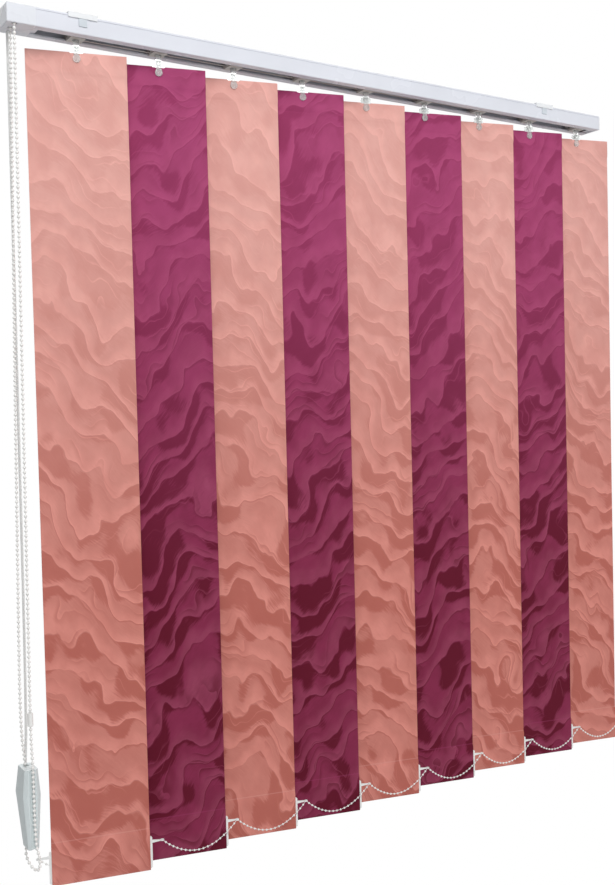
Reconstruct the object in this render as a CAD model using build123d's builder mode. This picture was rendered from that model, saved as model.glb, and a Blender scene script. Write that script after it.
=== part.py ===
from build123d import *
from math import cos, pi, radians, sin
import os

os.makedirs("parts", exist_ok=True)

# Vertical blind, all sizes in millimetres
# X runs along the headrail, -Y faces the room, Z is up, and the origin lies on the ceiling
# midway between the two bracket screws

# Driving dimensions of the louvres
louvre_count = 9
louvre_width = 127.0
louvre_drop = 1065.0
louvre_pitch = 113.5
closed_angle = 14.0
stack_pitch = 20.0
fabric = 0.55

# Driving dimensions of the headrail
rail_length = 1040.0
rail_depth = 42.0
rail_height = 24.0
rail_wall = 1.2
rail_corner = 1.6
slot_width = 20.0
track_rise = 0.8
track_width = 1.2
first_stem_inset = 94.0
slat_gap = 16.0

# Ceiling brackets
bracket_spacing = 808.0
bracket_left_overhang = 96.0
bracket_width = 38.0
bracket_thick = 1.6
bracket_lip = 6.5
bracket_groove = 0.5
groove_height = 1.4
groove_drop = 3.6
screw_hole = 4.8
countersink = 8.0
countersink_depth = 0.9

# End caps
housing_length = 36.0
cap_thick = 4.0
cap_wall = 1.3
plug_length = 8.0
plug_clearance = 0.2

# Worm drive: a worm on the tilt rod turns the toothed head of each stem
module = 1.0
wheel_teeth = 10
worm_radius = 4.5
thread_half_depth = 0.85
tooth_width = 1.2
wheel_face = 4.0
worm_length = 12.0
drive_drop = 12.0
rod_radius = 2.5
flute_radius = 0.7
flutes = 4
rod_clearance = 0.15
bore_clearance = 0.1
end_float = 0.2

# Carriers
carrier_gap = 0.4
carrier_depth = 32.4
carrier_height = 17.0
carrier_lift = 1.2
neck_clearance = 0.6
neck_below = 0.5
roller_radius = 3.5
roller_width = 2.6
roller_clearance = 0.1
roller_axle = 1.2
shaft_radius = 3.2
collar_radius = 4.6
collar_height = 1.4

# Spacer strips that draw the carriers out one after another
strip_width = 3.4
strip_thick = 0.35
strip_step = 0.55
strip_offset = 6.8
strip_clearance = 0.4
strip_overlap = 5.0

# Hanger and clip at the top of each louvre
hanger_width = 100.0
hanger_height = 22.0
hanger_thick = 1.2
tab_width = 16.0
tab_rise = 7.0
tab_hole = 2.4
hem_height = 30.0
clip_leaf = 1.1
clip_width = 7.0
clip_drop = 26.0
clip_disc = 10.0
clip_slit = 0.3

# Bottom weight with its chain arms
pocket_height = 56.0
pocket_clearance = 0.1
pocket_taper = 5.0
seam_width = 3.0
window_width = 22.0
window_height = 17.0
weight_thick = 2.4
weight_height = 42.0
weight_lift = 3.0
weight_overhang = 3.0
arm_height = 4.0
arm_thick = 1.6
arm_drop = 7.0
eye_reach = 80.0
eye_radius = 2.5
eye_height = 1.6

# Bead chains between the weights
bead_radius = 1.5
bead_clearance = 0.3
link_width = 0.7
beads_per_span = 19
chain_sag = 27.0
link_gap = 0.12

# Control chain and traverse cord
chain_pitch = 6.0
chain_radius = 2.1
pocket_count = 8
sprocket_inset = 10.0
sprocket_width = 7.0
sprocket_lip = 0.9
sprocket_slack = 0.25
strand_clearance = 0.9
cord_radius = 0.8
cord_clearance = 0.6
cord_drop = 8.0
front_cord_y = 8.6
back_cord_y = 14.2
cord_pulley_radius = 4.5
pulley_width = 4.2
pulley_flange = 1.3
pulley_axle = 1.5
return_inset = 14.0
strand_lean = 9.0
web_thick = 1.0
post_wall = 1.6
groove_clearance = 0.12

# Cord weight at the bottom of the control strands
weight_top = -940.0
weight_waist = -973.0
weight_bottom = -1040.0
cord_turn = -962.0
cord_end_gap = 0.5
chain_spread = -905.0
chain_loop = -1050.0
chain_back_y = 4.7
connector_length = 17.0
connector_radius = 3.4
connector_top = -868.0

# Places worked out from the driving dimensions
rail_left = -bracket_spacing / 2 - bracket_left_overhang
rail_right = rail_left + rail_length
rail_top = -bracket_thick - 0.4
rail_bottom = rail_top - rail_height
lip_top = rail_bottom + rail_wall
inner_half = rail_depth / 2 - rail_wall
slat_top = rail_bottom - slat_gap
slat_bottom = slat_top - louvre_drop
drive_z = rail_top - drive_drop
wheel_radius = module * wheel_teeth / 2
rod_y = -(wheel_radius + worm_radius)
lead = pi * module
stem_x = [rail_left + first_stem_inset + n * louvre_pitch for n in range(louvre_count)]
housing_end = rail_left + housing_length
strand_x = rail_left + sprocket_inset
weight_x = strand_x - strand_lean
sprocket_radius = chain_pitch / (2 * sin(pi / pocket_count))
return_x = rail_right - return_inset
return_y = (front_cord_y + back_cord_y) / 2
return_radius = (back_cord_y - front_cord_y) / 2
cord_z = rail_top - cord_drop
carrier_length = stack_pitch - carrier_gap
carrier_bottom = lip_top + carrier_lift
carrier_top = carrier_bottom + carrier_height


def write(piece, name):
    piece.label = name
    export_step(piece, f"parts/{name}.step")


# Headrail: an extruded channel with a slot, two inner tracks and two bracket grooves
with BuildPart() as headrail:
    with BuildSketch(Plane.YZ.offset(housing_end)):
        with Locations((0, rail_top - rail_height / 2)):
            RectangleRounded(rail_depth, rail_height, rail_corner)
            Rectangle(rail_depth - 2 * rail_wall, rail_height - 2 * rail_wall, mode=Mode.SUBTRACT)
        with Locations((0, rail_bottom + rail_wall / 2)):
            Rectangle(slot_width, 2 * rail_wall, mode=Mode.SUBTRACT)
        track_y = (slot_width + track_width) / 2
        with Locations((-track_y, lip_top + track_rise / 2), (track_y, lip_top + track_rise / 2)):
            Rectangle(track_width, track_rise)
        with Locations((-rail_depth / 2, rail_top - groove_drop), (rail_depth / 2, rail_top - groove_drop)):
            Rectangle(2 * bracket_groove, groove_height, mode=Mode.SUBTRACT)
    extrude(amount=rail_right - cap_thick - housing_end)
write(headrail.part, "headrail")

# Ceiling brackets: pressed plates whose two lips snap into the rail's side grooves
with BuildPart() as brackets:
    for x in (-bracket_spacing / 2, bracket_spacing / 2):
        with BuildSketch(Plane.YZ.offset(x - bracket_width / 2)):
            half = rail_depth / 2
            with Locations((0, -bracket_thick / 2)):
                Rectangle(rail_depth + 2 * bracket_thick, bracket_thick)
            for side in (-1, 1):
                with Locations((side * (half + bracket_thick / 2), -bracket_lip / 2)):
                    Rectangle(bracket_thick, bracket_lip)
                with Locations((side * half, rail_top - groove_drop)):
                    Rectangle(bracket_groove, groove_height / 2)
        extrude(amount=bracket_width)
        with Locations(Plane.XY.offset(-bracket_thick)):
            with Locations((x, 0)):
                Cylinder(screw_hole / 2, 4 * bracket_thick, mode=Mode.SUBTRACT)
        with Locations((x, 0, -bracket_thick + countersink_depth / 2)):
            Cone(countersink / 2, screw_hole / 2, countersink_depth, mode=Mode.SUBTRACT)
write(brackets.part, "ceiling_brackets")

# Control housing: a hollow cap at the left end with a plug that slides into the rail
with BuildPart() as housing:
    with BuildSketch(Plane.YZ.offset(rail_left)):
        with Locations((0, rail_top - rail_height / 2)):
            RectangleRounded(rail_depth, rail_height, rail_corner)
    extrude(amount=housing_length)
    fillet(housing.faces().sort_by(Axis.X)[0].edges(), rail_corner)
    plug_depth = rail_depth - 2 * rail_wall - 2 * plug_clearance
    plug_height = rail_height - 2 * rail_wall - 2 * plug_clearance
    with BuildSketch(Plane.YZ.offset(housing_end)):
        with Locations((0, rail_top - rail_height / 2)):
            Rectangle(plug_depth, plug_height)
            Rectangle(plug_depth - 2 * cap_wall, plug_height - 2 * cap_wall, mode=Mode.SUBTRACT)
        with Locations((0, rail_bottom)):
            Rectangle(slot_width + 2 * track_width + plug_clearance * 2, 4 * cap_wall, mode=Mode.SUBTRACT)
    extrude(amount=plug_length)
    with BuildSketch(Plane.YZ.offset(rail_left + cap_wall)):
        with Locations((0, rail_top - rail_height / 2)):
            Rectangle(rail_depth - 2 * cap_wall, rail_height - 2 * cap_wall)
    extrude(amount=housing_length - 2 * cap_wall, mode=Mode.SUBTRACT)
    with BuildSketch(Plane.YZ.offset(housing_end - 2 * cap_wall)):
        with Locations((rod_y, drive_z)):
            Circle(rod_radius + bore_clearance)
        with Locations((front_cord_y, cord_z), (back_cord_y, cord_z)):
            Circle(cord_radius + cord_clearance)
    extrude(amount=4 * cap_wall, mode=Mode.SUBTRACT)
    with BuildSketch(Plane.XY.offset(rail_bottom)):
        with Locations((strand_x, rod_y - sprocket_radius), (strand_x, rod_y + sprocket_radius)):
            SlotOverall(2 * (chain_radius + strand_clearance) + 1.0, 2 * (chain_radius + strand_clearance))
        with Locations((strand_x, front_cord_y), (strand_x, back_cord_y)):
            Circle(cord_radius + cord_clearance)
    extrude(amount=cap_wall, mode=Mode.SUBTRACT)
    pulley_x = strand_x + cord_pulley_radius
    pulley_z = cord_z - cord_pulley_radius
    axle_from = front_cord_y - pulley_width / 2 - web_thick
    axle_plane = Plane(origin=(pulley_x, axle_from, pulley_z), z_dir=(0, 1, 0))
    with BuildSketch(axle_plane):
        Circle(pulley_axle)
    extrude(amount=rail_depth / 2 - cap_wall / 2 - axle_from)
    with BuildSketch(Plane(origin=(pulley_x, axle_from, 0), x_dir=(1, 0, 0), z_dir=(0, -1, 0))):
        with Locations((0, rail_top - rail_height / 2)):
            Rectangle(4 * pulley_axle, rail_height - cap_wall)
    extrude(amount=web_thick)
write(housing.part, "control_housing")

# Return end cap: a closed cap at the right end with the post that the return pulley turns on
with BuildPart() as return_cap:
    with BuildSketch(Plane.YZ.offset(rail_right - cap_thick)):
        with Locations((0, rail_top - rail_height / 2)):
            RectangleRounded(rail_depth, rail_height, rail_corner)
    extrude(amount=cap_thick)
    fillet(return_cap.faces().sort_by(Axis.X)[-1].edges(), rail_corner)
    with BuildSketch(Plane.YZ.offset(rail_right - cap_thick)):
        with Locations((0, rail_top - rail_height / 2)):
            Rectangle(plug_depth, plug_height)
            Rectangle(plug_depth - 2 * cap_wall, plug_height - 2 * cap_wall, mode=Mode.SUBTRACT)
        with Locations((0, rail_bottom)):
            Rectangle(slot_width + 2 * track_width + plug_clearance * 2, 4 * cap_wall, mode=Mode.SUBTRACT)
    extrude(amount=-plug_length)
    shelf_z = cord_z - pulley_width / 2 - plug_clearance - cap_wall
    with BuildSketch(Plane.XY.offset(shelf_z)):
        with Locations(((return_x + rail_right - cap_thick) / 2, return_y)):
            Rectangle(rail_right - cap_thick - return_x + 4 * pulley_axle, 5 * pulley_axle)
    extrude(amount=cap_wall)
    with BuildSketch(Plane.XY.offset(shelf_z + cap_wall)):
        with Locations((return_x, return_y)):
            Circle(pulley_axle)
    extrude(amount=pulley_width + 2 * plug_clearance + 0.5)
    with BuildSketch(Plane.YZ.offset(rail_right - cap_thick - plug_length)):
        with Locations((rod_y, drive_z)):
            Circle(rod_radius + post_wall)
            Circle(rod_radius + bore_clearance, mode=Mode.SUBTRACT)
    extrude(amount=plug_length)
write(return_cap.part, "return_end_cap")


def pulley(origin, axis, pitch_radius, flange, bore):
    # A grooved wheel: the groove's floor lies under the cord that runs in it
    groove = pitch_radius - cord_radius - groove_clearance
    with BuildPart() as wheel:
        with BuildSketch(Plane(origin=origin, z_dir=axis)):
            Circle(pitch_radius + flange)
            Circle(bore, mode=Mode.SUBTRACT)
        extrude(amount=pulley_width / 2, both=True)
        with BuildSketch(Plane(origin=origin, z_dir=axis)):
            Circle(pitch_radius + 2 * flange)
            Circle(groove, mode=Mode.SUBTRACT)
        extrude(amount=cord_radius + 0.2, both=True, mode=Mode.SUBTRACT)
    return wheel.part


axle_bore = pulley_axle + bore_clearance
pulley_side = (0, 1, 0)
front_origin = (pulley_x, front_cord_y, pulley_z)
back_origin = (pulley_x, back_cord_y, pulley_z)
write(pulley(front_origin, pulley_side, cord_pulley_radius, 1.0, axle_bore), "front_cord_pulley")
write(pulley(back_origin, pulley_side, cord_pulley_radius, 1.0, axle_bore), "back_cord_pulley")
return_origin = (return_x, return_y, cord_z)
write(pulley(return_origin, (0, 0, 1), return_radius, 1.0, axle_bore), "return_pulley")

# Tilt rod: a fluted rod from the control housing to the return cap
rod_start = rail_left + cap_wall + end_float
with BuildPart() as tilt_rod:
    with BuildSketch(Plane.YZ.offset(rod_start)):
        with Locations((rod_y, drive_z)):
            Circle(rod_radius)
            with PolarLocations(rod_radius, flutes):
                Circle(flute_radius, mode=Mode.SUBTRACT)
    extrude(amount=rail_right - cap_thick - end_float - rod_start)
write(tilt_rod.part, "tilt_rod")

# Chain wheel: a sprocket with a pocket for each bead, fixed on the rod
with BuildPart() as chain_wheel:
    with BuildSketch(Plane.YZ.offset(strand_x - sprocket_width / 2)):
        with Locations((rod_y, drive_z)):
            Circle(sprocket_radius + sprocket_lip)
    extrude(amount=sprocket_width)
    chamfer(chain_wheel.faces().filter_by(Axis.X).edges(), sprocket_lip / 2)
    with BuildSketch(Plane.YZ.offset(strand_x)):
        with Locations((rod_y, drive_z)):
            Circle(sprocket_radius + 2 * sprocket_lip)
            Circle(sprocket_radius - chain_radius - sprocket_slack, mode=Mode.SUBTRACT)
    extrude(amount=chain_radius + sprocket_slack, both=True, mode=Mode.SUBTRACT)
    with BuildSketch(Plane.YZ.offset(strand_x - sprocket_width / 2)):
        with Locations((rod_y, drive_z)):
            Circle(rod_radius)
            with PolarLocations(rod_radius, flutes):
                Circle(flute_radius, mode=Mode.SUBTRACT)
    extrude(amount=sprocket_width, mode=Mode.SUBTRACT)
write(chain_wheel.part, "chain_wheel")

# Worm: one right-hand thread whose bore slides along the fluted rod, drawn upright and then placed
thread_root = worm_radius - thread_half_depth - 0.2
thread_tip = worm_radius + thread_half_depth
thread_foot = thread_root - 0.1
thread_length = 2 * lead
with BuildPart() as worm:
    with BuildLine() as helix:
        Helix(pitch=lead, height=thread_length, radius=thread_foot, center=(0, 0, -thread_length / 2))
    with BuildSketch(Plane.XZ):
        with BuildLine():
            foot = tooth_width / 2 + 0.15
            crest = tooth_width / 2 - 0.18
            low = -thread_length / 2
            Polyline((thread_foot, low - foot), (thread_tip, low - crest),
                     (thread_tip, low + crest), (thread_foot, low + foot), close=True)
        make_face()
    sweep(path=helix.line, is_frenet=True)
    with BuildSketch(Plane.XY.offset(-worm_length / 2)):
        Circle(thread_root)
    extrude(amount=worm_length)
    with BuildSketch(Plane.XY.offset(-worm_length / 2)):
        Circle(rod_radius + bore_clearance)
        with PolarLocations(rod_radius, flutes):
            Circle(flute_radius - bore_clearance, mode=Mode.SUBTRACT)
    extrude(amount=worm_length, mode=Mode.SUBTRACT)
for n, x in enumerate(stem_x):
    with BuildPart() as placed:
        with Locations(Plane(origin=(x, rod_y, drive_z), x_dir=(0, 1, 0), z_dir=(1, 0, 0))):
            add(worm.part)
    write(placed.part, f"worm_{n + 1}")

# Carrier: the block that rolls in the rail, with wells for worm and wheel, rollers and its strip
strip_length = louvre_pitch - carrier_length / 2 + strip_overlap
strip_floor = carrier_bottom + 0.4
channel_height = louvre_count * strip_step
with BuildPart() as block:
    with BuildSketch(Plane.YZ.offset(-carrier_length / 2)):
        with Locations((0, (carrier_bottom + carrier_top) / 2)):
            RectangleRounded(carrier_depth, carrier_height, 1.0)
        neck_depth = slot_width - 2 * neck_clearance
        neck_top = carrier_bottom + 1.0
        neck_bottom = rail_bottom - neck_below
        with Locations((0, (neck_top + neck_bottom) / 2)):
            Rectangle(neck_depth, neck_top - neck_bottom)
        with Locations((strip_offset, strip_floor + channel_height / 2)):
            Rectangle(strip_width + 2 * strip_clearance, channel_height, mode=Mode.SUBTRACT)
        with Locations((front_cord_y, cord_z), (back_cord_y, cord_z)):
            Circle(cord_radius + cord_clearance, mode=Mode.SUBTRACT)
        with Locations((rod_y, drive_z)):
            Circle(rod_radius + 2 * bore_clearance, mode=Mode.SUBTRACT)
    extrude(amount=carrier_length)
    worm_well = thread_tip + 0.35
    well_length = worm_length + 2 * end_float
    with BuildSketch(Plane.XY.offset(carrier_top)):
        with Locations((0, rod_y)):
            Rectangle(well_length, 2 * worm_well)
    extrude(amount=drive_z - carrier_top, mode=Mode.SUBTRACT)
    with BuildSketch(Plane.YZ.offset(-well_length / 2)):
        with Locations((rod_y, drive_z)):
            Circle(worm_well)
    extrude(amount=well_length, mode=Mode.SUBTRACT)
    with BuildSketch(Plane.XY.offset(carrier_top)):
        Circle(wheel_radius + module + 0.25)
    extrude(amount=drive_z - wheel_face / 2 - end_float - carrier_top, mode=Mode.SUBTRACT)
    with BuildSketch(Plane.XY.offset(carrier_top)):
        Circle(shaft_radius + bore_clearance)
    extrude(amount=neck_bottom - 1.0 - carrier_top, mode=Mode.SUBTRACT)
    roller_z = lip_top + roller_clearance + roller_radius
    roller_places = [(-carrier_length / 4, roller_z), (carrier_length / 4, roller_z)]
    roller_gap = 0.4
    axle_sink = 1.0
    for side in (-1, 1):
        with BuildSketch(Plane.XZ.offset(-side * (carrier_depth / 2 - axle_sink))):
            with Locations(*roller_places):
                Circle(roller_axle)
        extrude(amount=-side * (axle_sink + roller_gap + roller_width))
        with BuildSketch(Plane.XZ.offset(-side * (carrier_depth / 2 + roller_gap))):
            with Locations(*roller_places):
                Circle(roller_radius)
        extrude(amount=-side * roller_width)
for n, x in enumerate(stem_x):
    with BuildPart() as carrier:
        with Locations((x, 0, 0)):
            add(block.part)
        if n < louvre_count - 1:
            strip_z = strip_floor + n * strip_step + (strip_step - strip_thick) / 2
            strip_start = x - carrier_length / 2
            with BuildSketch(Plane.XY.offset(strip_z)):
                with Locations((strip_start + (strip_length + carrier_length) / 2, strip_offset)):
                    Rectangle(strip_length + carrier_length, strip_width)
                with Locations((x, strip_offset + strip_width / 2)):
                    Rectangle(carrier_length / 2, 4 * strip_clearance)
            extrude(amount=strip_thick)
    write(carrier.part, f"carrier_{n + 1}")

# Stem: the toothed head, its shaft and the clip, with the hanger that hangs on the clip's peg
turn = radians(closed_angle)
along = (cos(turn), -sin(turn), 0)
front = (-sin(turn), -cos(turn), 0)
tooth_tip = wheel_radius + thread_half_depth
tooth_root = wheel_radius - thread_half_depth - 0.2
collar_top = rail_bottom - neck_below - clip_slit
hem_half = hanger_thick / 2 + pocket_clearance + fabric
pocket_half = weight_thick / 2 + pocket_clearance + fabric
tab_top = slat_top + tab_rise
peg_z = tab_top - tab_hole - 1.0
leaf_in = hem_half + clip_slit
leaf_out = leaf_in + clip_leaf
clip_bottom = slat_top - 8.0
face_plane = Plane(origin=(0, 0, 0), x_dir=along, z_dir=front)
with BuildPart() as stem:
    with BuildSketch(Plane.XY.offset(drive_z - wheel_face / 2)):
        Circle(tooth_root)
        root = tooth_width / 2 + 0.25
        tip = tooth_width / 2 - 0.25
        base = tooth_root - 0.3
        tooth = [(base, -root), (tooth_tip, -tip), (tooth_tip, tip), (base, root)]
        with PolarLocations(0, wheel_teeth, start_angle=-90 + 180 / wheel_teeth):
            Polygon(*tooth, align=None)
    extrude(amount=wheel_face)
    with BuildSketch(Plane.XY.offset(drive_z - wheel_face / 2)):
        Circle(shaft_radius)
    extrude(amount=collar_top - collar_height - drive_z + wheel_face / 2)
    with BuildSketch(Plane.XY.offset(collar_top)):
        Circle(collar_radius)
    extrude(amount=-collar_height)
    with BuildSketch(face_plane.offset(-leaf_out)):
        block_bottom = tab_top + clip_slit
        with Locations((0, (collar_top - collar_height + block_bottom) / 2)):
            Rectangle(clip_width, collar_top - collar_height - block_bottom)
    extrude(amount=2 * leaf_out)
    with BuildSketch(face_plane.offset(leaf_in)):
        with Locations((0, (block_bottom + clip_bottom) / 2)):
            Rectangle(clip_width, block_bottom - clip_bottom)
        with Locations((0, clip_bottom)):
            Circle(clip_disc / 2)
    extrude(amount=clip_leaf)
    with BuildSketch(face_plane.offset(-leaf_out)):
        with Locations((0, (block_bottom + peg_z - tab_hole) / 2)):
            Rectangle(clip_width, block_bottom - peg_z + tab_hole)
    extrude(amount=clip_leaf)
    with BuildSketch(face_plane.offset(-leaf_in)):
        with Locations((0, peg_z)):
            Circle(tab_hole / 2 - bore_clearance)
    extrude(amount=2 * leaf_in)
with BuildPart() as hanger:
    with BuildSketch(face_plane):
        shoulder = slat_top - hem_half
        with Locations((0, shoulder - hanger_height / 2)):
            RectangleRounded(hanger_width, hanger_height, 3.0)
        with Locations((0, (tab_top + shoulder - hanger_height / 2) / 2)):
            RectangleRounded(tab_width, tab_top - shoulder + hanger_height / 2, 2.0)
        with Locations((0, peg_z)):
            Circle(tab_hole / 2, mode=Mode.SUBTRACT)
        for side in (-1, 1):
            with Locations((side * hanger_width / 4, shoulder - hanger_height / 2)):
                SlotOverall(hanger_width / 4, hanger_height / 3, mode=Mode.SUBTRACT)
    extrude(amount=hanger_thick / 2, both=True)
for n, x in enumerate(stem_x):
    with BuildPart() as placed:
        with Locations((x, 0, 0)):
            add([stem.part, hanger.part])
    write(placed.part, f"stem_{n + 1}")

# Slat: one folded sheet with a hem pocket at each end, drawn as its edge and extruded across
top_seam = slat_top - hem_height
low_seam = slat_bottom + pocket_height
sheet = fabric / 2
edge_plane = Plane(origin=(0, 0, 0), x_dir=front, z_dir=(-along[0], -along[1], 0))
with BuildPart() as slat:
    with BuildSketch(edge_plane):
        with BuildLine():
            ThreePointArc((hem_half, slat_top - hem_half), (0, slat_top),
                          (-hem_half, slat_top - hem_half))
            Polyline((-hem_half, slat_top - hem_half), (-hem_half, top_seam + pocket_taper),
                     (-sheet, top_seam),
                     (-sheet, low_seam), (-pocket_half, low_seam - pocket_taper),
                     (-pocket_half, slat_bottom + pocket_half))
            ThreePointArc((-pocket_half, slat_bottom + pocket_half), (0, slat_bottom),
                          (pocket_half, slat_bottom + pocket_half))
            Polyline((pocket_half, slat_bottom + pocket_half), (pocket_half, low_seam - pocket_taper),
                     (sheet, low_seam), (sheet, top_seam), (hem_half, top_seam + pocket_taper),
                     (hem_half, slat_top - hem_half))
        make_face()
        with BuildLine():
            gap = hem_half - fabric
            ThreePointArc((gap, slat_top - hem_half), (0, slat_top - fabric), (-gap, slat_top - hem_half))
            Polyline((-gap, slat_top - hem_half), (-gap, top_seam + pocket_taper),
                     (0, top_seam + seam_width), (gap, top_seam + pocket_taper),
                     (gap, slat_top - hem_half))
        make_face(mode=Mode.SUBTRACT)
        with BuildLine():
            gap = pocket_half - fabric
            ThreePointArc((gap, slat_bottom + pocket_half), (0, slat_bottom + fabric),
                          (-gap, slat_bottom + pocket_half))
            Polyline((-gap, slat_bottom + pocket_half), (-gap, low_seam - pocket_taper),
                     (0, low_seam - seam_width), (gap, low_seam - pocket_taper),
                     (gap, slat_bottom + pocket_half))
        make_face(mode=Mode.SUBTRACT)
        with Locations((-sheet - fabric / 2, top_seam - seam_width / 2),
                       (-sheet - fabric / 2, low_seam + seam_width / 2)):
            Rectangle(fabric, seam_width)
    extrude(amount=louvre_width / 2, both=True)
    with BuildSketch(face_plane):
        with Locations((0, slat_top)):
            Rectangle(window_width, 2 * (slat_top - clip_bottom) - clip_disc)
    extrude(amount=2 * hem_half, both=True, mode=Mode.SUBTRACT)
for n, x in enumerate(stem_x):
    with BuildPart() as placed:
        with Locations((x, 0, 0)):
            add(slat.part)
    write(placed.part, f"slat_{n + 1}")

# Bottom weight: a flat plate in the lower pocket with a chain arm and eye at each end
plate_bottom = slat_bottom + weight_lift
plate_top = plate_bottom + weight_height
eye_z = plate_top - arm_drop
plate_half = louvre_width / 2 + weight_overhang
with BuildPart() as weight:
    with BuildSketch(face_plane):
        with Locations((0, (plate_bottom + plate_top) / 2)):
            RectangleRounded(2 * plate_half, weight_height, 2.0)
    extrude(amount=weight_thick / 2, both=True)
    with BuildSketch(face_plane):
        for side in (-1, 1):
            root = side * (plate_half - 1.0)
            tip = side * (eye_reach - (eye_radius + bead_radius + bead_clearance) / 2)
            with BuildLine():
                Polyline((root, eye_z - arm_height / 2), (tip, eye_z - eye_height / 2),
                         (tip, eye_z + eye_height / 2), (root, eye_z + arm_height / 2), close=True)
            make_face()
    extrude(amount=arm_thick / 2, both=True)
    eyes = [(side * eye_reach * along[0], side * eye_reach * along[1]) for side in (-1, 1)]
    with BuildSketch(Plane.XY.offset(eye_z - eye_height / 2)):
        with Locations(*eyes):
            Circle(eye_radius)
    extrude(amount=eye_height)
    with BuildSketch(Plane.XY.offset(eye_z - arm_height)):
        with Locations(*eyes):
            Circle(bead_radius + bead_clearance)
    extrude(amount=2 * arm_height, mode=Mode.SUBTRACT)
for n, x in enumerate(stem_x):
    with BuildPart() as placed:
        with Locations((x, 0, 0)):
            add(weight.part)
    write(placed.part, f"weight_{n + 1}")


# Bottom chains: beads at even steps along a sagging curve from eye to eye
def span_point(t):
    return t * louvre_pitch, -4 * chain_sag * t * (1 - t)


def even_steps(count):
    # Shares of the span that divide its curve into equal lengths
    fine = 2000
    lengths = [0.0]
    for k in range(fine):
        x0, z0 = span_point(k / fine)
        x1, z1 = span_point((k + 1) / fine)
        lengths.append(lengths[-1] + ((x1 - x0) ** 2 + (z1 - z0) ** 2) ** 0.5)
    wanted = [lengths[-1] * k / count for k in range(count)]
    return [min(range(fine), key=lambda k: abs(lengths[k] - w)) / fine for w in wanted]


steps = even_steps(beads_per_span)
beads_xz = []
for span in range(louvre_count - 1):
    for t in steps:
        dx, dz = span_point(t)
        beads_xz.append((stem_x[0] + span * louvre_pitch + dx, eye_z + dz))
beads_xz.append((stem_x[-1], eye_z))
for name, side in (("front_chain", 1), ("back_chain", -1)):
    shift_x = side * eye_reach * along[0]
    y = side * eye_reach * along[1]
    links = []
    for k, (x, z) in enumerate(beads_xz):
        last = k + 1 == len(beads_xz)
        next_x, next_z = beads_xz[k + 1] if not last else (x + 1.0, z)
        step = ((next_x - x) ** 2 + (next_z - z) ** 2) ** 0.5
        tail = bead_radius + 0.2 if last else step - bead_radius - link_gap
        heading = Plane(origin=(x + shift_x, y, z), z_dir=(next_x - x, 0, next_z - z))
        with BuildPart() as link:
            for offset, radius in ((-bead_radius, link_width), (0, 2 * bead_radius),
                                   (bead_radius, link_width), (tail, link_width)):
                with BuildSketch(heading.offset(offset)):
                    RegularPolygon(radius / 2, 4)
            loft(ruled=True)
        links.append(link.part.solid())
    write(Compound(links), name)


def tube(points, radii, section, name):
    # A round cord along straight runs joined by tangent arcs
    with BuildPart() as cord:
        with BuildLine() as path:
            FilletPolyline(*points, radius=radii)
        with BuildSketch(Plane(origin=path.line @ 0, z_dir=path.line % 0)):
            Circle(section)
        sweep(path=path.line)
    length = path.wires()[0].length
    print(name, "length", length, "volume share", cord.part.volume / (length * pi * section ** 2))
    print(name, "radii", radii)
    return cord.part


# Control chain: up over the chain wheel, and down again to the loop under the cord weight
front_strand = rod_y - sprocket_radius
back_strand = rod_y + sprocket_radius
crown = drive_z + sprocket_radius
loop_radius = (chain_back_y - front_strand) / 2 - 0.01
chain_joint = connector_top - connector_length / 2
chain_points = [
    (weight_x, front_strand, chain_joint),
    (strand_x, front_strand, crown),
    (strand_x, back_strand, crown),
    (weight_x, back_strand, chain_spread + 60.0),
    (weight_x, chain_back_y, chain_spread),
    (weight_x, chain_back_y, chain_loop - loop_radius),
    (weight_x, front_strand, chain_loop - loop_radius),
    (weight_x, front_strand, chain_joint - cord_end_gap),
]
over = sprocket_radius - 0.01
chain_radii = [over, over, 200.0, 200.0, loop_radius, loop_radius]
write(tube(chain_points, chain_radii, chain_radius, "control_chain"), "control_chain")

# Chain connector: a short sleeve on the front strand
with BuildPart() as connector:
    with BuildSketch(Plane.XY.offset(connector_top - connector_length)):
        with Locations((weight_x, front_strand)):
            Circle(connector_radius)
            Circle(chain_radius + bore_clearance, mode=Mode.SUBTRACT)
    extrude(amount=connector_length)
    chamfer(connector.edges().filter_by(GeomType.CIRCLE).sort_by(SortBy.RADIUS)[-2:], 0.6)
write(connector.part, "chain_connector")

# Traverse cord: one loop through the rail, over the pulleys and down to the cord weight
cord_points = [
    (stem_x[-1], back_cord_y, cord_z),
    (strand_x, back_cord_y, cord_z),
    (weight_x, back_cord_y, cord_turn),
    (weight_x, front_cord_y, cord_turn),
    (strand_x, front_cord_y, cord_z),
    (return_x + return_radius, front_cord_y, cord_z),
    (return_x + return_radius, back_cord_y, cord_z),
    (stem_x[-1] + cord_end_gap, back_cord_y, cord_z),
]
bend = cord_pulley_radius
small = return_radius - 0.01
cord_radii = [bend, small, small, bend, small, small]
write(tube(cord_points, cord_radii, cord_radius, "traverse_cord"), "traverse_cord")

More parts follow.
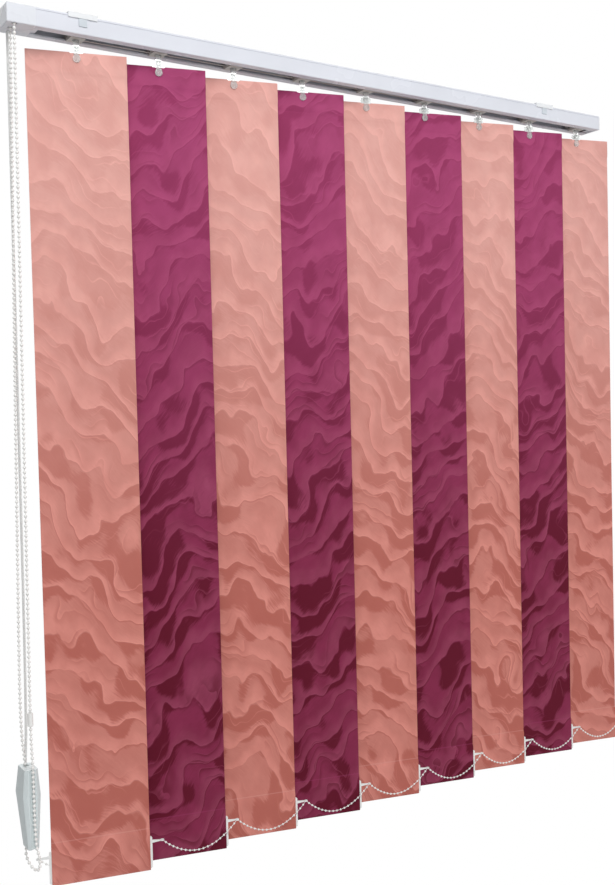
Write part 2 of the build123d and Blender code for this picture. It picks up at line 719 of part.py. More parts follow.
# Cord weight: a faceted casting with a groove and a hole for the chain and a slot for the cord
with BuildPart() as cord_weight:
    for z, depth, width, corner in ((weight_bottom, 25.0, 9.0, 2.0), (weight_waist, 36.0, 15.0, 3.0),
                                    (weight_top, 31.0, 11.0, 2.5)):
        with BuildSketch(Plane.XY.offset(z)) as section:
            with Locations((weight_x, front_strand + chain_radius / 2 + depth / 2)):
                Rectangle(width, depth)
            chamfer(section.vertices(), corner)
    loft(ruled=True)
    with BuildSketch(Plane.XY.offset(weight_bottom - 1.0)):
        with Locations((weight_x, front_strand), (weight_x, chain_back_y)):
            Circle(chain_radius + 0.5)
    extrude(amount=weight_top - weight_bottom + 2.0, mode=Mode.SUBTRACT)
    turn_radius = return_radius
    slot_bottom = cord_turn - cord_radius - cord_clearance
    with BuildSketch(Plane.YZ.offset(weight_x - cord_radius - cord_clearance)):
        with Locations((return_y, (slot_bottom + weight_top) / 2)):
            Rectangle(2 * (turn_radius + cord_radius + cord_clearance), weight_top - slot_bottom)
    extrude(amount=2 * (cord_radius + cord_clearance), mode=Mode.SUBTRACT)
    with BuildSketch(Plane.YZ.offset(weight_x - 2.0)):
        with Locations((return_y, cord_turn + turn_radius)):
            Circle(turn_radius - cord_radius - 0.05)
    extrude(amount=4.0)
write(cord_weight.part, "cord_weight")
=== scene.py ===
import math

import bmesh
import bpy
from mathutils import Matrix, Vector


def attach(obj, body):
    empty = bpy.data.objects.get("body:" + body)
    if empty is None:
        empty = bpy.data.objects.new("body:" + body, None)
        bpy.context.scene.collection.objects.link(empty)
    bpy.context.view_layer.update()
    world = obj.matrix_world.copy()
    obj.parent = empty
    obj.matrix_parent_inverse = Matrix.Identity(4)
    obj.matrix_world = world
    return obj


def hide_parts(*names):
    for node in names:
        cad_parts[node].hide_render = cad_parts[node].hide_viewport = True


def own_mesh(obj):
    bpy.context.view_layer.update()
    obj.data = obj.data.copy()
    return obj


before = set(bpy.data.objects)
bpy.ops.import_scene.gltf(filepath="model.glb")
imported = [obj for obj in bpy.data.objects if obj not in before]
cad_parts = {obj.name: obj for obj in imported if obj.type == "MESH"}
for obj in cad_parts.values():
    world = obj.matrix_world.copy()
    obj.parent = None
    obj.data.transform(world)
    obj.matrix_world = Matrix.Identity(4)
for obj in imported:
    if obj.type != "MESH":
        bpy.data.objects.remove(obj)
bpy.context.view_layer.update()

# Sizes in metres, the same as the part's own
COUNT = 9
WIDTH = 0.127
PITCH = 0.1135
CLOSED = math.radians(14.0)
FABRIC = 0.00055
FIRST_STEM = -0.406
SLAT_TOP = -0.042
SLAT_BOTTOM = -1.107
TOP_HEM = 0.030
LOW_HEM = 0.056
TOP_HALF = 0.00125
LOW_HALF = 0.00185
TAPER = 0.005
SEAM = 0.003
BRACKET_X = 0.404
STEMS = [FIRST_STEM + n * PITCH for n in range(COUNT)]
ALONG = Vector((math.cos(CLOSED), -math.sin(CLOSED), 0))
FRONT = Vector((-math.sin(CLOSED), -math.cos(CLOSED), 0))

# Bottom weights and the two chains that join them
WEIGHT_LIFT, WEIGHT_HEIGHT, ARM_DROP = 0.003, 0.042, 0.007
EYE_REACH = 0.080
EYE_Z = SLAT_BOTTOM + WEIGHT_LIFT + WEIGHT_HEIGHT - ARM_DROP
SAG = 0.027
BEADS = 19
BEAD_RADIUS, BEAD_THREAD = 0.0015, 0.0004

# Control chain, traverse cord and cord weight
STRAND_X, WEIGHT_X = -0.490, -0.499
FRONT_STRAND, BACK_STRAND, CROWN = -0.017339, -0.001661, -0.006161
CHAIN_BACK, CHAIN_JOINT = 0.0047, -0.8765
CHAIN_STEP, CHAIN_RADIUS, CHAIN_THREAD = 0.006, 0.0021, 0.0006
FRONT_CORD, BACK_CORD, CORD_Z = 0.0086, 0.0142, -0.010
CORD_TURN, CORD_RIGHT, CORD_DIAMETER = -0.962, 0.5288, 0.0016
END_GAP = 0.0005

# The scene's own sizes: the gap in the top fold for the hanger's tab, the cloth's mesh and waviness,
# where each slat lies on the bolt of cloth, and how much broader the cord weight is
NOTCH_HALF, NOTCH_DEPTH = 0.0085, 0.0032
COLUMNS, ROWS, EDGE_COLUMN = 24, 120, 0.993
WAVE_HEIGHT, CUP_HEIGHT = 0.00030, 0.00012
BOLT_STEP, BOLT_START = 0.31, 0.085
WEIGHT_BREADTH = 1.5


def put(name, data):
    """A new object in the scene for a mesh, a curve, a lamp or a camera."""
    piece = bpy.data.objects.new(name, data)
    bpy.context.scene.collection.objects.link(piece)
    return piece


# Camera: the photograph's own viewpoint, with its small roll
def place_camera():
    azimuth, pitch, roll = (math.radians(v) for v in (32.694, 1.919, -1.403))
    place = (-0.879, -1.2584, -0.5007)
    focal_px, long_side, sensor_height = 1021.7, 885, 24.0
    level = math.cos(pitch)
    forward = Vector((math.sin(azimuth) * level, math.cos(azimuth) * level, -math.sin(pitch)))
    right = Vector((math.cos(azimuth), -math.sin(azimuth), 0))
    up = right.cross(forward)
    right, up = (right * math.cos(roll) + up * math.sin(roll),
                 up * math.cos(roll) - right * math.sin(roll))
    data = bpy.data.cameras.new("camera")
    data.sensor_fit = "VERTICAL"
    data.sensor_height = sensor_height
    data.lens = focal_px / long_side * sensor_height
    data.clip_start, data.clip_end = 0.05, 60
    camera = put("camera", data)
    turn = Matrix((right, up, -forward)).transposed().to_4x4()
    camera.matrix_world = Matrix.Translation(place) @ turn
    bpy.context.scene.camera = camera


class Nodes:
    """The nodes of a material or of the world, with short helpers that chain them."""

    def __init__(self, owner):
        owner.use_nodes = True
        self.owner = owner
        self.tree = owner.node_tree

    def add(self, kind, inputs=(), **settings):
        node = self.tree.nodes.new("ShaderNode" + kind)
        for key, value in settings.items():
            setattr(node, key, value)
        for key, value in dict(inputs).items():
            self.feed(node.inputs[key], value)
        return node

    def feed(self, socket, value):
        if isinstance(value, bpy.types.NodeSocket):
            self.tree.links.new(value, socket)
        else:
            socket.default_value = value

    def math(self, operation, a, b=0.0, c=0.0):
        return self.add("Math", {0: a, 1: b, 2: c}, operation=operation).outputs[0]

    def times(self, a, b):
        return self.math("MULTIPLY", a, b)

    def minus(self, a, b):
        return self.math("SUBTRACT", a, b)

    def most(self, a, b):
        return self.math("MAXIMUM", a, b)

    def times_plus(self, a, b, c):
        return self.math("MULTIPLY_ADD", a, b, c)

    def ramp(self, value, low, high, bottom=0.0, top=1.0):
        """A smooth step from bottom, where value is low, to top, where it is high."""
        inputs = {0: value, 1: low, 2: high, 3: bottom, 4: top}
        return self.add("MapRange", inputs, interpolation_type="SMOOTHSTEP").outputs[0]

    def noise(self, place, scale, detail, rough=0.5):
        inputs = {"Vector": place, "Scale": scale, "Detail": detail, "Roughness": rough}
        return self.add("TexNoise", inputs).outputs["Fac"]

    def vector(self, x, y, z):
        return self.add("CombineXYZ", {0: x, 1: y, 2: z}).outputs[0]

    def mix(self, share, a, b):
        """Colour a, turning to colour b by the share. The Mix node's colour sockets are 6 and 7."""
        return self.add("Mix", {0: share, 6: a, 7: b}, data_type="RGBA").outputs[2]

    def bump(self, height, distance, strength=1.0, normal=None):
        node = self.add("Bump", {"Height": height, "Distance": distance, "Strength": strength})
        if normal is not None:
            self.feed(node.inputs["Normal"], normal)
        return node.outputs[0]

    def set(self, **values):
        shader = self.tree.nodes["Principled BSDF"]
        for key, value in values.items():
            self.feed(shader.inputs[key.replace("_", " ")], value)
        return self.owner


def plastic(name, colour, rough, depth=0.00004, grain=900, **more):
    """Plain plastic, paint, metal or fibre: a slow cloud varies its shade and gloss, over a fine grain."""
    darker, glossier, duller = 0.955, 0.85, 1.15
    n = Nodes(bpy.data.materials.new(name))
    place = n.add("TexCoord").outputs["Object"]
    cloud = n.noise(place, 14.0, 3.0)
    shade = n.mix(n.ramp(cloud, 0.3, 0.7), (*[c * darker for c in colour], 1), (*colour, 1))
    gloss = n.ramp(cloud, 0.25, 0.75, rough * glossier, rough * duller)
    return n.set(Base_Color=shade, Roughness=gloss, Normal=n.bump(n.noise(place, grain, 2.0), depth), **more)


def fabric(name, light, dark, painted_top_light, lean, contrast, high, seed):
    """A wave jacquard: crests that lean across the slat, each with a dark hollow that feathers out below it.

    The light and dark shades are those of the foot, and both turn towards the top to the third shade, a paler
    painted top light that stands in for the light and satin sheen falling from above. The sign of lean says to
    which side the crests lean. The pattern's strength goes from contrast at the foot to high times contrast at
    the top, and that weakening at the top is painted sheen.
    """
    n = Nodes(bpy.data.materials.new(name))
    cloth = n.add("SeparateXYZ", {0: n.add("UVMap", uv_map="cloth").outputs[0]}).outputs
    height = n.add("SeparateXYZ", {0: n.add("TexCoord").outputs["Object"]}).outputs[2]
    u, v = n.times(cloth[0], lean), cloth[1]

    def cloud(across, up, shift, detail=1.0):
        """Noise with so many cells to the metre across and up the cloth."""
        return n.noise(n.vector(n.times(u, across), n.times(v, up), seed + shift), 1.0, detail)

    # Crests: a slanted run of waves, bent by three clouds, the slowest first.
    # fall is how far a point lies below the crest above it: 0 at that crest and 1 at the next.
    bend = n.minus(cloud(10.0, 5.5, 0.0), 0.5)
    swirl = n.minus(cloud(26.0, 14.0, 4.0), 0.5)
    ripple = n.minus(cloud(70.0, 45.0, 7.0), 0.5)
    waves_across, waves_up = 14.5, 22.5
    slant = n.times_plus(u, waves_across, n.times(v, waves_up))
    warp = n.times_plus(swirl, 1.6, n.times(ripple, 0.22))
    phase = n.math("ADD", slant, n.times_plus(bend, 3.8, warp))
    fall = n.minus(1.0, n.math("FRACT", phase))
    # Slanted streaks feather the lower edge of each hollow
    streak_x = n.times_plus(u, 430.0, n.times_plus(v, 380.0, n.times(bend, 40.0)))
    streak_y = n.times_plus(v, 40.0, n.times(u, -36.0))
    streak = n.noise(n.vector(streak_x, streak_y, seed + 9), 1.0, 3.0, 0.6)
    jag = n.minus(streak, 0.5)
    reach = n.ramp(cloud(19.0, 13.0, 14.0), 0.36, 0.66, -0.10, 0.88)
    depth = n.minus(n.times_plus(jag, 0.65, reach), fall)
    hollow = n.times(n.ramp(depth, -0.12, 0.24), n.ramp(fall, 0.0, 0.05))
    # Each crest is a thin light line with a thin shadow under it, and the cloth pales towards it
    present = n.ramp(cloud(9.0, 7.0, 21.0), 0.34, 0.60)
    crest = n.times(n.ramp(fall, 0.91, 0.985), present)
    under = n.times(n.ramp(fall, 0.02, 0.09, 0.7, 0.0), present)
    body = n.times(n.ramp(n.times_plus(jag, 0.7, fall), 0.40, 0.92), 0.62)
    # A finer run of the same waves lies between them in patches
    finer = n.times_plus(phase, 1.9, n.times(cloud(30.0, 18.0, 40.0), 2.6))
    fine_fall = n.minus(1.0, n.math("FRACT", finer))
    patch = n.ramp(cloud(15.0, 11.0, 50.0), 0.46, 0.64)
    crest = n.most(crest, n.times(n.ramp(fine_fall, 0.86, 0.98), n.times(patch, 0.7)))
    fine_shade = n.times_plus(jag, 0.5, n.ramp(fine_fall, 0.02, 0.45, 0.75, 0.0))
    under = n.most(under, n.times(n.times(fine_shade, patch), 0.9))
    # Shades, which change with the height: a painted top light and sheen pale the cloth towards the top, and the
    # pattern is weakened there as painted sheen
    top_light_share = n.ramp(height, -0.84, -0.05)
    strength = n.times(contrast, n.ramp(height, -0.80, -0.20, 1.0, high))
    share = n.times(n.most(hollow, under), strength)
    lit = n.mix(top_light_share, (*light, 1), (*painted_top_light, 1))
    deep = n.mix(top_light_share, (*dark, 1), (*[0.5 * f + 0.5 * d for f, d in zip(painted_top_light, dark)], 1))
    pale = n.mix(top_light_share, (*[c * 1.25 + 0.03 for c in light], 1), (*[c * 1.15 + 0.01 for c in painted_top_light], 1))
    colour = n.mix(share, n.mix(body, lit, pale), deep)
    colour = n.mix(n.times(crest, n.ramp(height, -0.8, -0.3, 0.55, 0.80)), colour, pale)
    brush = n.times_plus(streak, 0.35, n.times(cloud(38.0, 26.0, 30.0, 3.0), 0.65))
    colour = n.mix(n.ramp(brush, 0.38, 0.62, 0.0, 0.55), colour, n.mix(0.5, colour, deep))
    # Pressed seams of the two hem pockets
    for seam in (SLAT_TOP - TOP_HEM, SLAT_BOTTOM + LOW_HEM):
        off = n.math("ABSOLUTE", n.minus(height, seam))
        colour = n.mix(n.ramp(off, 0.0004, 0.0010, 0.5, 0.0), colour, n.mix(0.5, colour, (*painted_top_light, 1)))
    # Relief of the weave and of the waves
    thread = 0.0007
    turn = 2 * math.pi / thread
    weave = n.times(n.math("SINE", n.times(u, turn)), n.math("SINE", n.times(v, turn)))
    relief = n.times_plus(crest, 0.5, n.times(hollow, -0.35))
    return n.set(
        Base_Color=colour, Roughness=n.ramp(hollow, 0.0, 1.0, 0.60, 0.80), Specular_IOR_Level=0.17,
        Sheen_Weight=0.02, Sheen_Roughness=0.5,
        Normal=n.bump(weave, 0.00006, 0.5, n.bump(relief, 0.0003, 0.5)))


def dress(name, material):
    """Gives a CAD node a better material."""
    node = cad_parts[name]
    node.data.materials.clear()
    node.data.materials.append(material)


def mesh_object(name, verts, faces, material):
    data = bpy.data.meshes.new(name)
    data.from_pydata([tuple(v) for v in verts], [], faces)
    data.validate()
    data.materials.append(material)
    data.shade_smooth()
    return put(name, data)


def mesh_from(shape, name, material):
    """A mesh made from a bmesh, which it uses up."""
    data = bpy.data.meshes.new(name)
    shape.to_mesh(data)
    shape.free()
    data.materials.append(material)
    return data


# Slat: one strip of cloth that folds over at the top and at the bottom, followed from flap to flap
def strip_line():
    """Points of the strip's midline, as (out from the slat's plane, height)."""
    half = FABRIC / 2
    top, low = TOP_HALF - half, LOW_HALF - half
    top_seam, low_seam = SLAT_TOP - TOP_HEM, SLAT_BOTTOM + LOW_HEM
    crown, bottom = SLAT_TOP - half - top, SLAT_BOTTOM + half + low
    arc = [math.pi * k / 8 for k in range(9)]

    def top_wall(out, shares):
        return [(out, top_seam + TAPER + (TOP_HEM - TAPER - TOP_HALF) * s) for s in shares]

    def low_wall(out, shares):
        return [(out, low_seam - TAPER + (bottom - low_seam + TAPER) * s) for s in shares]

    line = [(-FABRIC, top_seam - SEAM), (-FABRIC, top_seam)]
    line += [(-top * s, top_seam + TAPER * s) for s in (0.6, 1.0)]
    line += top_wall(-top, (0.25, 0.5, 0.72, 0.9))
    line += [(-top * math.cos(a), crown + top * math.sin(a)) for a in arc]
    line += top_wall(top, (0.9, 0.72, 0.5, 0.25))
    line += [(top * s, top_seam + TAPER * s) for s in (1.0, 0.5)]
    line += [(0.0, top_seam + (low_seam - top_seam) * k / ROWS) for k in range(ROWS + 1)]
    line += [(low * s, low_seam - TAPER * s) for s in (0.5, 1.0)]
    line += low_wall(low, (0.2, 0.4, 0.6, 0.8))
    line += [(low * math.cos(a), bottom - low * math.sin(a)) for a in arc]
    line += low_wall(-low, (0.8, 0.6, 0.4, 0.2))
    line += [(-low * s, low_seam - TAPER * s) for s in (1.0, 0.6)]
    return line + [(-FABRIC, low_seam), (-FABRIC, low_seam + SEAM)]


def slat(number, material):
    line = strip_line()
    notch = NOTCH_HALF / (WIDTH / 2)
    columns = sorted({-1 + 2 * k / COLUMNS for k in range(COLUMNS + 1)} | {-notch, notch, -EDGE_COLUMN, EDGE_COLUMN})
    stem = Vector((STEMS[number], 0, 0))
    phase = 1.7 * number
    # How far along the strip each point lies, and the way its face looks there
    run, total = [0.0], 0.0
    for a, b in zip(line, line[1:]):
        total += math.hypot(b[0] - a[0], b[1] - a[1])
        run.append(total)
    normals = []
    for k in range(len(line)):
        a, b = line[max(0, k - 1)], line[min(len(line) - 1, k + 1)]
        length = math.hypot(b[0] - a[0], b[1] - a[1])
        normals.append(((a[1] - b[1]) / length, (b[0] - a[0]) / length))
    # Two layers of points, a cloth's thickness apart
    verts, uvs = [], []
    for sign in (1, -1):
        for k, (out, height) in enumerate(line):
            fade = math.sin(math.pi * (SLAT_TOP - height) / (SLAT_TOP - SLAT_BOTTOM))
            for c in columns:
                wave = WAVE_HEIGHT * fade * math.sin(7.0 * height + phase + 1.3 * c)
                o = out + (wave + CUP_HEIGHT * fade * c * c) + sign * normals[k][0] * FABRIC / 2
                h = height + sign * normals[k][1] * FABRIC / 2
                verts.append(stem + ALONG * (c * WIDTH / 2) + FRONT * o + Vector((0, 0, h)))
                uvs.append((c * WIDTH / 2 + BOLT_STEP * number, SLAT_TOP - run[k] + BOLT_START))
    wide, tall = len(columns), len(line)
    peak = SLAT_TOP - NOTCH_DEPTH

    def kept(k, c):
        centre = abs(columns[c] + columns[c + 1]) / 2 < notch
        return not (centre and line[k][1] > peak and line[k + 1][1] > peak)

    # Faces of both layers, closed along every edge and round the notch
    faces = []
    layer = wide * tall
    for k in range(tall - 1):
        for c in range(wide - 1):
            if not kept(k, c):
                continue
            a, b = k * wide + c, k * wide + c + 1
            d, e = a + wide, b + wide
            faces.append((a, d, e, b))
            faces.append((a + layer, b + layer, e + layer, d + layer))
            for p, q, k2, c2 in ((a, b, k - 1, c), (e, d, k + 1, c), (d, a, k, c - 1), (b, e, k, c + 1)):
                inside = 0 <= k2 < tall - 1 and 0 <= c2 < wide - 1 and kept(k2, c2)
                if not inside:
                    faces.append((p, q, q + layer, p + layer))
    used = sorted({v for f in faces for v in f})
    index = {old: new for new, old in enumerate(used)}
    piece = mesh_object(f"cloth_{number + 1}", [verts[v] for v in used],
                        [tuple(index[v] for v in f) for f in faces], material)
    cloth_uv = piece.data.uv_layers.new(name="cloth")
    for loop in piece.data.loops:
        cloth_uv.data[loop.index].uv = uvs[used[loop.vertex_index]]
    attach(piece, f"louvre_{number + 1}")
    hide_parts(f"slat_{number + 1}")


def bead_chain(name, points, radius, thread, material):
    """Round beads at the points, joined by a thin thread. Each bead is a small sphere of rings."""
    rings, sides, thread_sides = 5, 10, 6
    verts, faces = [], []
    for at in points:
        base = len(verts)
        verts.append(at + Vector((0, 0, radius)))
        for r in range(1, rings):
            tilt = math.pi * r / rings
            for k in range(sides):
                angle = 2 * math.pi * k / sides
                away = (math.sin(tilt) * math.cos(angle), math.sin(tilt) * math.sin(angle), math.cos(tilt))
                verts.append(at + Vector(away) * radius)
        verts.append(at - Vector((0, 0, radius)))
        last = len(verts) - 1
        for k in range(sides):
            m = (k + 1) % sides
            faces.append((base, base + 1 + k, base + 1 + m))
            for r in range(rings - 2):
                low, high = base + 1 + r * sides, base + 1 + (r + 1) * sides
                faces.append((low + k, high + k, high + m, low + m))
            faces.append((last, last - sides + m, last - sides + k))
    for a, b in zip(points, points[1:]):
        axis = (b - a).normalized()
        side = axis.cross(Vector((0.3, 0.9, 0.2))).normalized()
        other = axis.cross(side)
        base, over = len(verts), len(verts) + thread_sides
        for end in (a, b):
            for k in range(thread_sides):
                angle = 2 * math.pi * k / thread_sides
                verts.append(end + (side * math.cos(angle) + other * math.sin(angle)) * thread)
        for k in range(thread_sides):
            m = (k + 1) % thread_sides
            faces.append((base + k, base + m, over + m, over + k))
        faces.append(tuple(range(over - 1, base - 1, -1)))
        faces.append(tuple(range(over, over + thread_sides)))
    return mesh_object(name, verts, faces, material)


def even_points(line, step):
    """Points at about equal steps along a polyline, from its first to its last point."""
    total = sum((b - a).length for a, b in zip(line, line[1:]))
    count = round(total / step)
    step = total / count
    out, carried = [line[0]], 0.0
    for a, b in zip(line, line[1:]):
        length = (b - a).length
        while carried + length >= step * len(out) - 1e-9 and len(out) < count:
            out.append(a.lerp(b, (step * len(out) - carried) / length))
        carried += length
    out.append(line[-1])
    return out


def bottom_chain(name, side, material):
    """A chain that sags from eye to eye along one side of the bottom weights."""
    shift = ALONG * (side * EYE_REACH)
    shares = [k / 60 for k in range(61)]
    beads = []
    for left in STEMS[:-1]:
        curve = [Vector((left + s * PITCH, 0, EYE_Z - 4 * SAG * s * (1 - s))) for s in shares]
        length = sum((b - a).length for a, b in zip(curve, curve[1:]))
        beads += [p + shift for p in even_points(curve, length / BEADS)[:-1]]
    beads.append(Vector((STEMS[-1], 0, EYE_Z)) + shift)
    chain = bead_chain(name + "_beads", beads, BEAD_RADIUS, BEAD_THREAD, material)
    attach(chain, name)
    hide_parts(name)
    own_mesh(chain)


def route(name, points, diameter, material):
    """A smooth open NURBS curve through a cord's route, with a round section."""
    data = bpy.data.curves.new(name, "CURVE")
    data.dimensions = "3D"
    data.bevel_depth = diameter / 2
    data.bevel_resolution = 3
    data.use_fill_caps = True
    spline = data.splines.new("NURBS")
    spline.points.add(len(points) - 1)
    for target, point in zip(spline.points, points):
        target.co = (*point, 1)
    spline.order_u = 3
    spline.use_endpoint_u = True
    spline.resolution_u = 12
    if material:
        data.materials.append(material)
    return put(name, data)


def traced(points):
    """Points along the smooth curve that follows a route, read from the evaluated spline."""
    piece = route("trace", points, 0.0, None)
    data = bpy.data.meshes.new_from_object(piece)
    line = [v.co.copy() for v in data.vertices]
    curve = piece.data
    bpy.data.objects.remove(piece)
    bpy.data.curves.remove(curve)
    bpy.data.meshes.remove(data)
    return line


def broad_weight(material):
    """The cord weight in the node's own form, drawn out across its strands and rounded at its edges."""
    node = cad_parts["cord_weight"]
    shape = bmesh.new()
    shape.from_mesh(node.data)
    bmesh.ops.transform(shape, matrix=node.matrix_world, verts=shape.verts)
    bmesh.ops.remove_doubles(shape, verts=shape.verts, dist=1e-6)
    bmesh.ops.dissolve_limit(shape, angle_limit=math.radians(1), verts=shape.verts, edges=shape.edges)
    for vertex in shape.verts:
        vertex.co.x = WEIGHT_X + (vertex.co.x - WEIGHT_X) * WEIGHT_BREADTH
    data = mesh_from(shape, "broad_weight", material)
    if data.attributes.get("custom_normal"):
        data.attributes.remove(data.attributes["custom_normal"])
    data.shade_smooth()
    data.set_sharp_from_angle(angle=math.radians(25))
    piece = put("broad_weight", data)
    soften = piece.modifiers.new("soften", "BEVEL")
    soften.width, soften.segments, soften.angle_limit = 0.0009, 2, math.radians(35)
    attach(piece, "rail")
    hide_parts("cord_weight")


def clip_tongue_shadow(name, place_x, material):
    """The bracket's clip where it shows on the rail's front: a thin tongue that follows the face down. Its darker
    grey is painted shadow, the shade that the bracket's lip casts on the rail's front.
    """
    width, thick, top, low, face, rounding = 0.011, 0.0009, -0.0045, -0.0165, -0.0211, 0.0003
    shape = bmesh.new()
    bmesh.ops.create_cube(shape, size=1.0)
    size, middle = (width, thick, top - low), (place_x, face - thick / 2, (top + low) / 2)
    for vertex in shape.verts:
        vertex.co = Vector([c * s + m for c, s, m in zip(vertex.co, size, middle)])
    bmesh.ops.bevel(shape, geom=shape.edges, offset=rounding, segments=2, affect="EDGES", profile=0.5)
    piece = put(name, mesh_from(shape, name, material))
    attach(piece, "rail")


# Control side: the routes of the part's two cords. The chain's strands spread above the weight and its
# loop opens below it; the cord has one more point on the straight run near each turn.
def control_side(bead_material, cord_material):
    left, right = WEIGHT_X - 0.0055, WEIGHT_X + 0.0060
    in_back, in_front = WEIGHT_X - 0.0012, WEIGHT_X + 0.0012
    below_crown, over_weight, weight_top, weight_foot = CROWN - 0.025, -0.900, -0.935, -1.036
    chain_route = [
        (WEIGHT_X, FRONT_STRAND, CHAIN_JOINT), (STRAND_X, FRONT_STRAND, below_crown),
        (STRAND_X, FRONT_STRAND, CROWN), (STRAND_X, BACK_STRAND, CROWN),
        (STRAND_X, BACK_STRAND, below_crown), (left, 0.0035, -0.80),
        (left, CHAIN_BACK, over_weight), (in_back, CHAIN_BACK, weight_top),
        (in_back, CHAIN_BACK, weight_foot), (left, CHAIN_BACK + 0.0010, -1.052),
        (WEIGHT_X, -0.0040, -1.068), (right, -0.0160, -1.069), (right, -0.0185, -1.050),
        (in_front, FRONT_STRAND, weight_foot), (in_front, FRONT_STRAND, weight_top),
        (WEIGHT_X, FRONT_STRAND, over_weight), (WEIGHT_X, FRONT_STRAND, CHAIN_JOINT - END_GAP),
    ]
    line = traced(chain_route)
    chain = bead_chain("control_beads", even_points(line, CHAIN_STEP), CHAIN_RADIUS, CHAIN_THREAD, bead_material)
    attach(chain, "rail")
    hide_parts("control_chain")
    near, inner, inner_z = 0.0096, WEIGHT_X + 0.0050, -0.86
    cord_route = [
        (STEMS[-1], BACK_CORD, CORD_Z), (STRAND_X + near, BACK_CORD, CORD_Z),
        (STRAND_X, BACK_CORD, CORD_Z), (STRAND_X, BACK_CORD, CORD_Z - near),
        (inner, BACK_CORD, inner_z), (WEIGHT_X, BACK_CORD, CORD_TURN + near),
        (WEIGHT_X, BACK_CORD, CORD_TURN), (WEIGHT_X, FRONT_CORD, CORD_TURN),
        (WEIGHT_X, FRONT_CORD, CORD_TURN + near), (inner, FRONT_CORD, inner_z),
        (STRAND_X, FRONT_CORD, CORD_Z - near), (STRAND_X, FRONT_CORD, CORD_Z),
        (STRAND_X + near, FRONT_CORD, CORD_Z), (CORD_RIGHT - near, FRONT_CORD, CORD_Z),
        (CORD_RIGHT, FRONT_CORD, CORD_Z), (CORD_RIGHT, BACK_CORD, CORD_Z),
        (CORD_RIGHT - near, BACK_CORD, CORD_Z), (STEMS[-1] + END_GAP, BACK_CORD, CORD_Z),
    ]
    cord = route("pull_cord", cord_route, CORD_DIAMETER, cord_material)
    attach(cord, "rail")
    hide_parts("traverse_cord")


# Stage: a pale floor that the camera sees as white, and a surrounding that is white to the camera, through
# clear pieces and in reflections, and gives a softer light
def build_stage():
    reach, floor_z, soft_light = 6, -1.40, 0.36
    n = Nodes(bpy.data.materials.new("floor_paint"))
    n.tree.nodes.remove(n.tree.nodes["Principled BSDF"])
    diffuse = n.add("BsdfDiffuse", {"Color": (0.86, 0.86, 0.86, 1)})
    glow = n.add("Emission", {"Color": (1, 1, 1, 1), "Strength": 1.0})
    seen = n.add("LightPath").outputs["Is Camera Ray"]
    blend = n.add("MixShader", {0: seen, 1: diffuse.outputs[0], 2: glow.outputs[0]})
    n.feed(n.tree.nodes["Material Output"].inputs["Surface"], blend.outputs[0])
    corners = [(-reach, -reach, floor_z), (reach, -reach, floor_z), (reach, reach, floor_z), (-reach, reach, floor_z)]
    floor = mesh_object("floor", corners, [(0, 1, 2, 3)], n.owner)
    n = Nodes(bpy.data.worlds.new("world"))
    bpy.context.scene.world = n.owner
    ray = n.add("LightPath").outputs
    white = n.most(n.most(ray["Is Camera Ray"], ray["Is Transmission Ray"]), ray["Is Glossy Ray"])
    back = n.tree.nodes["Background"]
    n.feed(back.inputs["Strength"], n.add("MapRange", {0: white, 3: soft_light, 4: 1.0}).outputs[0])
    n.feed(back.inputs["Color"], (1, 1, 1, 1))


def lamp(name, place, aim, size, power):
    data = bpy.data.lights.new(name, "AREA")
    data.shape = "RECTANGLE"
    data.size, data.size_y = size
    data.energy = power
    piece = put(name, data)
    piece.location = place
    piece.rotation_euler = (Vector(aim) - Vector(place)).to_track_quat("-Z", "Y").to_euler()


place_camera()
build_stage()
lamp("key", (-0.7, -1.9, 1.25), (0, 0, -0.35), (1.6, 1.0), 44)
lamp("fill", (1.6, -2.2, -0.3), (0, 0, -0.6), (1.8, 1.8), 9)
lamp("back", (0.4, 2.2, 0.9), (0, 0, -0.4), (2.0, 1.2), 22)

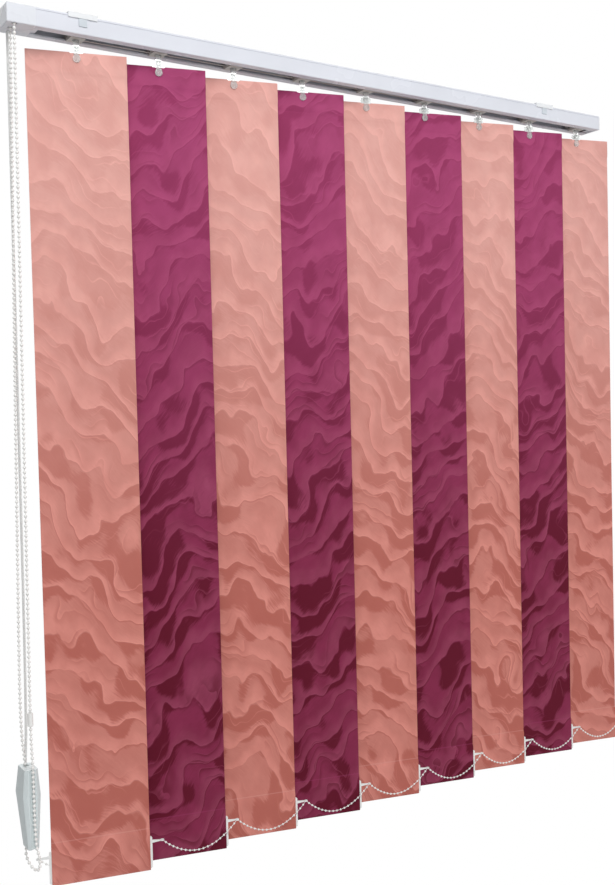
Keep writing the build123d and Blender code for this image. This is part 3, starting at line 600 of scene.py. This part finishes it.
SMOOTH = 0.00001
rail_paint = plastic("rail_paint", (0.71, 0.73, 0.795), 0.25, SMOOTH, 300, Coat_Weight=0.3, Coat_Roughness=0.1)
cap_plastic = plastic("cap_plastic", (0.72, 0.74, 0.79), 0.3)
bracket_paint = plastic("bracket_paint", (0.80, 0.82, 0.84), 0.3)
white_plastic = plastic("white_plastic", (0.86, 0.87, 0.86), 0.33)
bead_plastic = plastic("bead_plastic", (0.90, 0.90, 0.88), 0.25, SMOOTH)
grey_plastic = plastic("grey_plastic", (0.52, 0.50, 0.47), 0.45)
weight_plastic = plastic("weight_plastic", (0.68, 0.75, 0.76), 0.4)
clear_plastic = plastic("clear_plastic", (0.90, 0.92, 0.91), 0.15, SMOOTH, IOR=1.49, Transmission_Weight=0.78)
# A darker grey than the rail's paint: the painted shadow that each bracket's lip casts on the rail's front
clip_shadow_grey = plastic("clip_shadow_grey", (0.60, 0.65, 0.70), 0.25, SMOOTH)
rod_metal = plastic("rod_metal", (0.70, 0.71, 0.73), 0.3, SMOOTH, Metallic=1.0)
cord_fibre = plastic("cord_fibre", (0.83, 0.84, 0.83), 0.8, 0.0001, 2500)

# The shades light, dark and painted top light, then lean, contrast, high and seed. The painted top light is the paler
# shade that stands in for light and satin sheen from above
PEACH = ((0.610, 0.222, 0.182), (0.450, 0.121, 0.094), (0.735, 0.388, 0.345), 1.0, 0.80, 0.17, 0.0)
BURGUNDY = ((0.228, 0.021, 0.068), (0.112, 0.004, 0.018), (0.360, 0.050, 0.152), -1.0, 0.95, 0.55, 3.1)
for number in range(COUNT):
    slat(number, fabric(f"cloth_dye_{number + 1}", *(BURGUNDY if number % 2 else PEACH)))

for number in range(1, COUNT + 1):
    dress(f"carrier_{number}", grey_plastic)
    dress(f"worm_{number}", white_plastic)
    dress(f"stem_{number}", clear_plastic)
    dress(f"weight_{number}", white_plastic)
for name, material in (
    ("headrail", rail_paint), ("control_housing", cap_plastic), ("return_end_cap", cap_plastic),
    ("ceiling_brackets", bracket_paint), ("tilt_rod", rod_metal), ("chain_wheel", white_plastic),
    ("front_cord_pulley", white_plastic), ("back_cord_pulley", white_plastic), ("return_pulley", white_plastic),
    ("chain_connector", bead_plastic),
):
    dress(name, material)
broad_weight(weight_plastic)
# The clips' tongues on the rail's front, with the shadow of the bracket lips painted into their darker grey
clip_tongue_shadow("left_clip_shadow", -BRACKET_X, clip_shadow_grey)
clip_tongue_shadow("right_clip_shadow", BRACKET_X, clip_shadow_grey)

bottom_chain("front_chain", 1, bead_plastic)
bottom_chain("back_chain", -1, bead_plastic)
control_side(bead_plastic, cord_fibre)

bpy.context.scene.view_settings.view_transform = "Standard"
